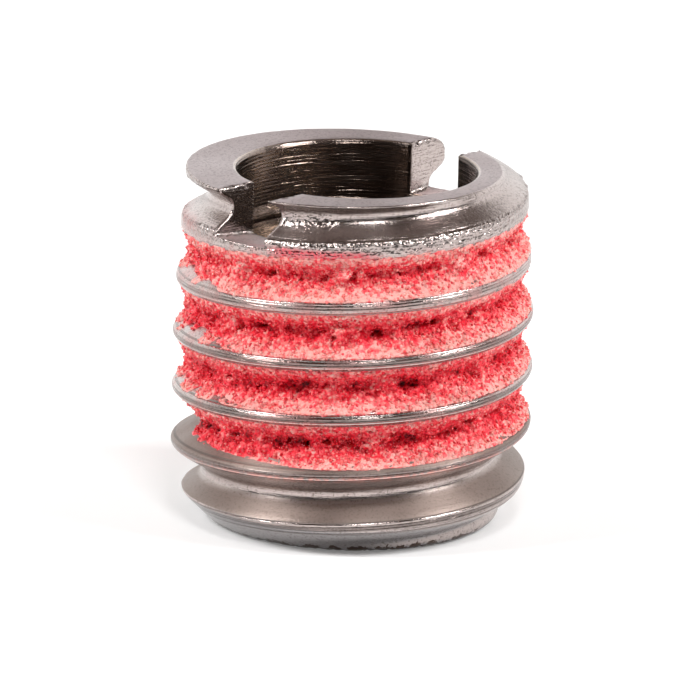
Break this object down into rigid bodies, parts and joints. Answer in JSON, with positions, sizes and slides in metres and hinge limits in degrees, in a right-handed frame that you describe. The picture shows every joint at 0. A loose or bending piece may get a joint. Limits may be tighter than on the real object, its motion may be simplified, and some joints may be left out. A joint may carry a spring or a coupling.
{
  "type": "threaded insert",
  "caption": "Slotted steel threaded insert with a coarse outside thread, a smaller tapped hole through it and dried locking compound in the thread grooves.",
  "frame": {"origin": "on the thread axis, in the flat lower end face", "axes": "+Z along the axis towards the slotted face, X along the drive slot"},
  "size_m": [0.0124, 0.0124, 0.0123],
  "materials": {
    "steel": "bright turned and threaded, lightly oiled",
    "compound": "dried, matt and sugary"
  },
  "bodies": {
    "root": {"threaded_sleeve": "steel", "locking_compound": "compound"}
  },
  "joints": []
}
